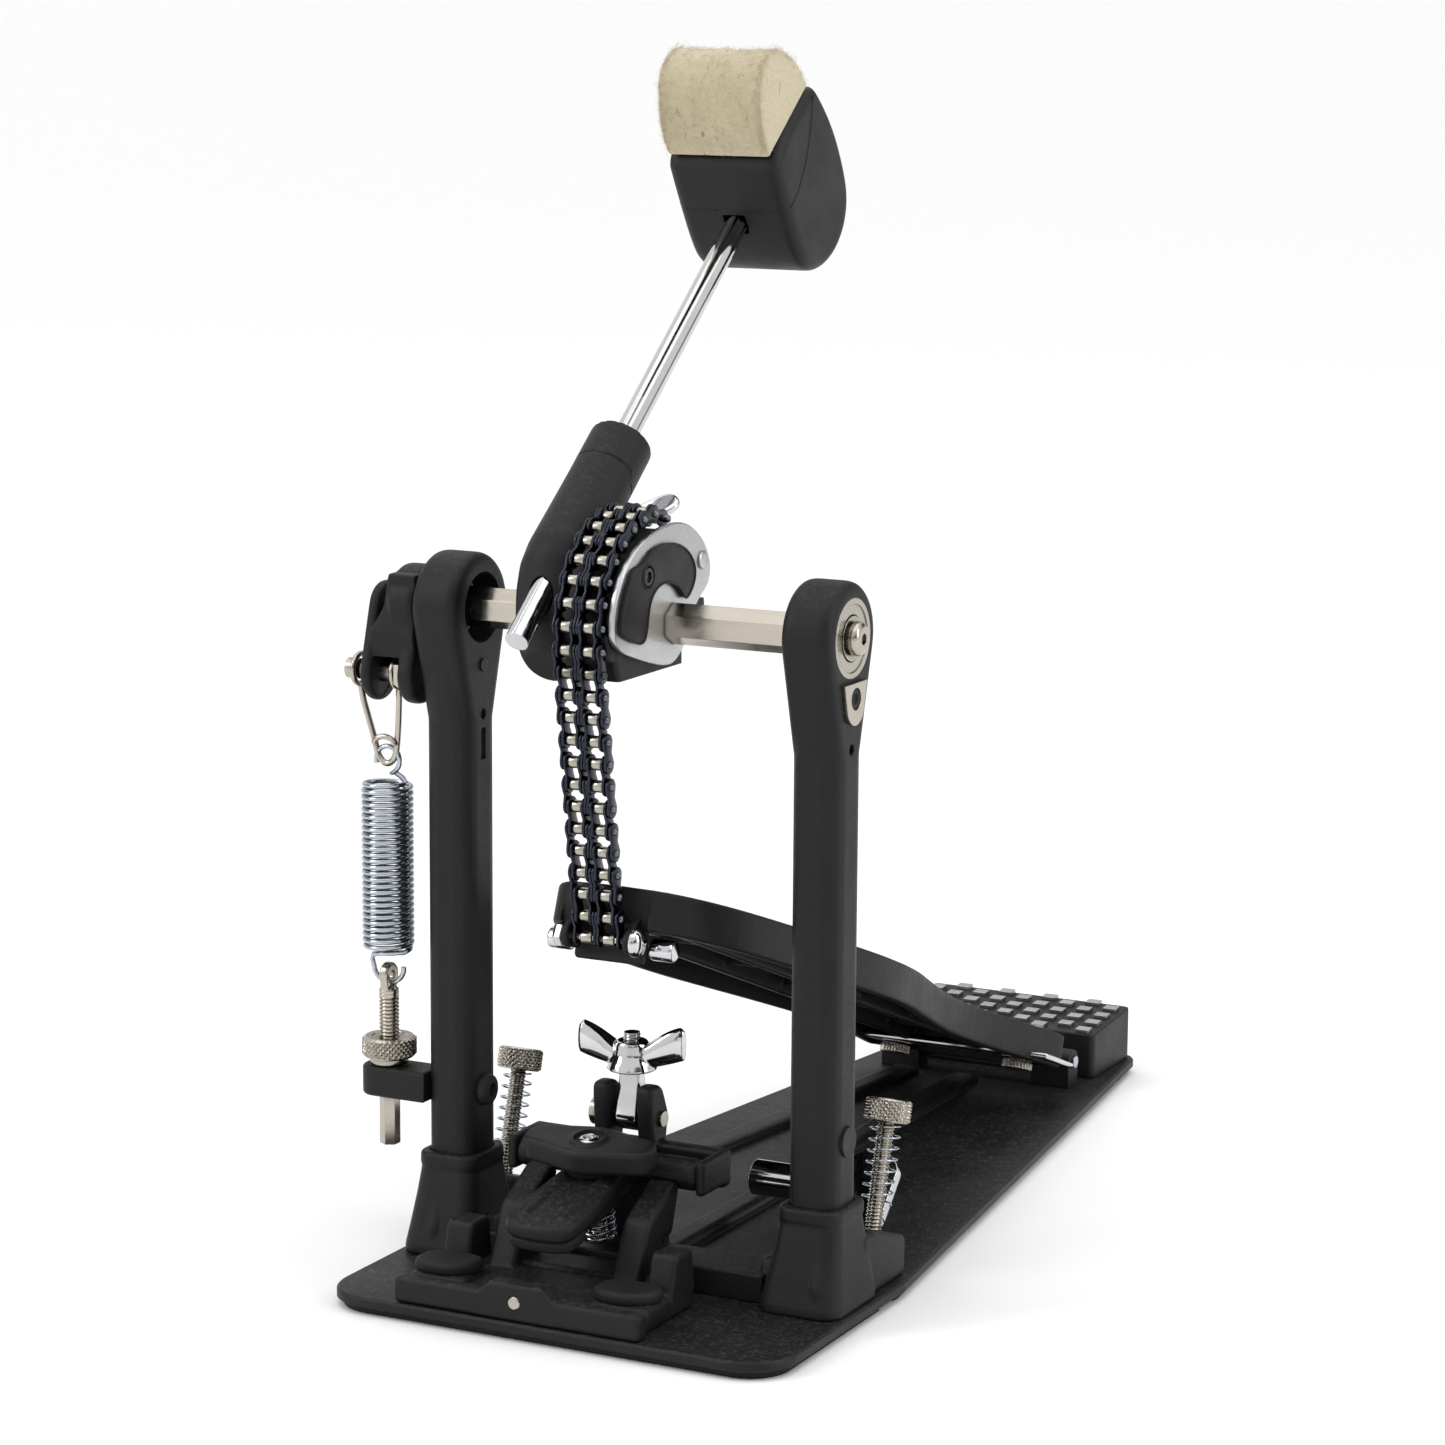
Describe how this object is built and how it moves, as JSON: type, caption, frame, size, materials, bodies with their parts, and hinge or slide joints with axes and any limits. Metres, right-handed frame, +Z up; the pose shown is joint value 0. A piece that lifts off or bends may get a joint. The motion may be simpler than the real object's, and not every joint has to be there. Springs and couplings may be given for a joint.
{
  "type": "bass drum pedal",
  "caption": "Foot pedal that swings a felt beater at a bass drum through a double chain, cam and return spring, with hoop clamp and floor spurs.",
  "frame": {"origin": "on the floor, directly under the middle of the axle", "axes": "+Z up, +X to the right as seen from the drum side's opposite, -Y toward the drum, +Y toward the player's heel"},
  "size_m": [0.1627, 0.348, 0.3463],
  "materials": {
    "black_casting": "fine textured black powder coat",
    "black_plate": "satin black powder coat on steel",
    "rubber": "matt black moulded rubber",
    "nickel": "satin nickel plate",
    "chrome": "bright chrome plate",
    "zinc": "bright zinc plate",
    "bearing_steel": "ground bearing steel",
    "blued_steel": "blue-black oiled chain steel",
    "black_plastic": "matt black nylon",
    "felt": "dense cream wool felt",
    "satin_aluminium": "satin aluminium"
  },
  "bodies": {
    "frame": {"base_plate": "black_plate", "grip_pads": "rubber", "cross_bar": "black_casting", "left_foot": "black_casting", "right_foot": "black_casting", "left_post": "black_casting", "right_post": "black_casting", "bearing_outer_rings": "bearing_steel", "bearing_balls": "bearing_steel", "bearing_clip_plate": "nickel", "frame_screws": "nickel", "post_plugs": "black_plastic", "heel_block": "black_plastic", "heel_studs": "satin_aluminium", "hinge_knuckles": "black_plate", "hinge_pin": "zinc", "spring_bracket": "black_casting", "spur_springs": "zinc", "clamp_base": "black_casting", "clamp_pads": "rubber", "clamp_pins": "nickel", "rear_bracket": "black_casting", "key_clip": "black_plastic"},
    "footboard": {"footboard": "black_casting", "hinge_leaf": "nickel", "hinge_nuts": "nickel", "chain_clamp": "black_casting", "chain_clamp_bolt": "chrome"},
    "shaft": {"hex_shaft": "nickel", "shaft_screw": "nickel", "bearing_inner_rings": "bearing_steel", "beater_hub": "black_casting", "hub_collar": "black_casting", "chain_cam": "black_casting", "cam_side_plate": "satin_aluminium", "cam_inlay": "black_plastic", "cam_screws": "nickel", "chain_on_cam": "blued_steel", "rocker_arm": "black_casting", "rocker_pin": "nickel"},
    "chain_run": {"chain_run": "blued_steel"},
    "hub_screw": {"hub_wing_screw": "chrome"},
    "beater_rod": {"beater_rod": "chrome"},
    "beater_head": {"beater_body": "black_plastic", "beater_felt": "felt"},
    "stirrup": {"stirrup": "nickel"},
    "tension_nut": {"tension_nut": "nickel"},
    "tension_rod": {"tension_rod": "nickel"},
    "spring": {"extension_spring": "zinc"},
    "spring_top": {"spring_top_hook": "zinc"},
    "left_spur": {"left_spur": "nickel"},
    "right_spur": {"right_spur": "nickel"},
    "jaw": {"clamp_jaw": "black_casting", "jaw_pad": "rubber", "clamp_stud": "chrome", "return_spring": "zinc"},
    "clamp_knob": {"clamp_knob": "black_plastic"},
    "swing_bolt": {"swing_bolt": "chrome"},
    "wing_nut": {"wing_nut": "chrome"},
    "drum_key": {"drum_key": "chrome"}
  },
  "joints": [
    {"name": "footboard_hinge", "type": "hinge", "parent": "frame", "child": "footboard", "pos_m": [0, 0.243, 0.0135], "axis": [1, 0, 0], "range_deg": [0, 6.5], "stiffness_Nm_per_rad": 5, "springref_deg": -25.78},
    {"name": "shaft_turn", "type": "hinge", "parent": "frame", "child": "shaft", "pos_m": [0, 0, 0.192], "axis": [1, 0, 0], "range_deg": [0, 50.81]},
    {"name": "chain_unroll", "type": "hinge", "parent": "shaft", "child": "chain_run", "pos_m": [0, -0.03351, 0.20506], "axis": [1, 0, 0], "range_deg": [-57.74, 0]},
    {"name": "stirrup_swing", "type": "hinge", "parent": "shaft", "child": "stirrup", "pos_m": [-0.0795, -0.004, 0.172], "axis": [1, 0, 0], "range_deg": [-60.64, 0]},
    {"name": "nut_turn", "type": "hinge", "parent": "frame", "child": "tension_nut", "pos_m": [-0.0795, -0.004, 0.062], "axis": [0, 0, 1], "range_deg": [0, 721]},
    {"name": "rod_lift", "type": "slide", "parent": "frame", "child": "tension_rod", "axis": [0, 0, 1], "range_m": [0, 0.002]},
    {"name": "spring_tilt", "type": "hinge", "parent": "tension_rod", "child": "spring", "pos_m": [-0.0795, -0.004, 0.083], "axis": [1, 0, 0], "range_deg": [-9.85, 0]},
    {"name": "spring_stretch", "type": "slide", "parent": "spring", "child": "spring_top", "axis": [0, 0, 1], "range_m": [0, 0.0069], "deforming": ["extension_spring"]},
    {"name": "hub_screw_turn", "type": "hinge", "parent": "shaft", "child": "hub_screw", "pos_m": [-0.018, 0.01734, 0.21826], "axis": [0, 0.6293, -0.7771], "range_deg": [-360, 0]},
    {"name": "rod_height", "type": "slide", "parent": "shaft", "child": "beater_rod", "axis": [0, 0.7771, 0.6293], "range_m": [-0.015, 0.015]},
    {"name": "beater_flip", "type": "hinge", "parent": "beater_rod", "child": "beater_head", "pos_m": [-0.018, 0.10304, 0.30311], "axis": [0, 0.7771, 0.6293], "range_deg": [0, 180]},
    {"name": "left_spur_feed", "type": "slide", "parent": "frame", "child": "left_spur", "axis": [0, -0.2756, -0.9613], "range_m": [0, 0.006], "deforming": ["spur_springs"]},
    {"name": "right_spur_feed", "type": "slide", "parent": "frame", "child": "right_spur", "axis": [0, -0.2756, -0.9613], "range_m": [0, 0.006], "deforming": ["spur_springs"]},
    {"name": "jaw_pivot", "type": "hinge", "parent": "frame", "child": "jaw", "pos_m": [-0.0085, 0, 0.036], "axis": [1, 0, 0], "range_deg": [-6.51, 6.51], "deforming": ["return_spring"]},
    {"name": "knob_turn", "type": "hinge", "parent": "jaw", "child": "clamp_knob", "pos_m": [-0.0085, -0.01077, 0.03377], "axis": [0, -0.2028, 0.9792], "range_deg": [-360, 360]},
    {"name": "swing_bolt_tilt", "type": "hinge", "parent": "frame", "child": "swing_bolt", "pos_m": [-0.0085, 0.012, 0.047], "axis": [1, 0, 0], "range_deg": [-20, 15]},
    {"name": "wing_nut_turn", "type": "hinge", "parent": "swing_bolt", "child": "wing_nut", "pos_m": [-0.0085, 0.012, 0.065], "axis": [0, 0, 1], "range_deg": [-720, 720]},
    {"name": "key_pull", "type": "slide", "parent": "frame", "child": "drum_key", "axis": [1, 0, 0], "range_m": [0, 0.04]}
  ],
  "couplings": [
    {"joint": "shaft_turn", "follows": "footboard_hinge", "ratio": 7.814},
    {"joint": "chain_unroll", "follows": "footboard_hinge", "ratio": -8.88},
    {"joint": "stirrup_swing", "follows": "footboard_hinge", "ratio": -9.3257},
    {"joint": "spring_tilt", "follows": "footboard_hinge", "ratio": -1.5116},
    {"joint": "spring_stretch", "follows": "footboard_hinge", "m_per_rad": 0.060673},
    {"joint": "nut_turn", "follows": "rod_lift", "rad_per_m": 6283.2},
    {"joint": "jaw_pivot", "follows": "knob_turn", "ratio": 0.018056}
  ]
}
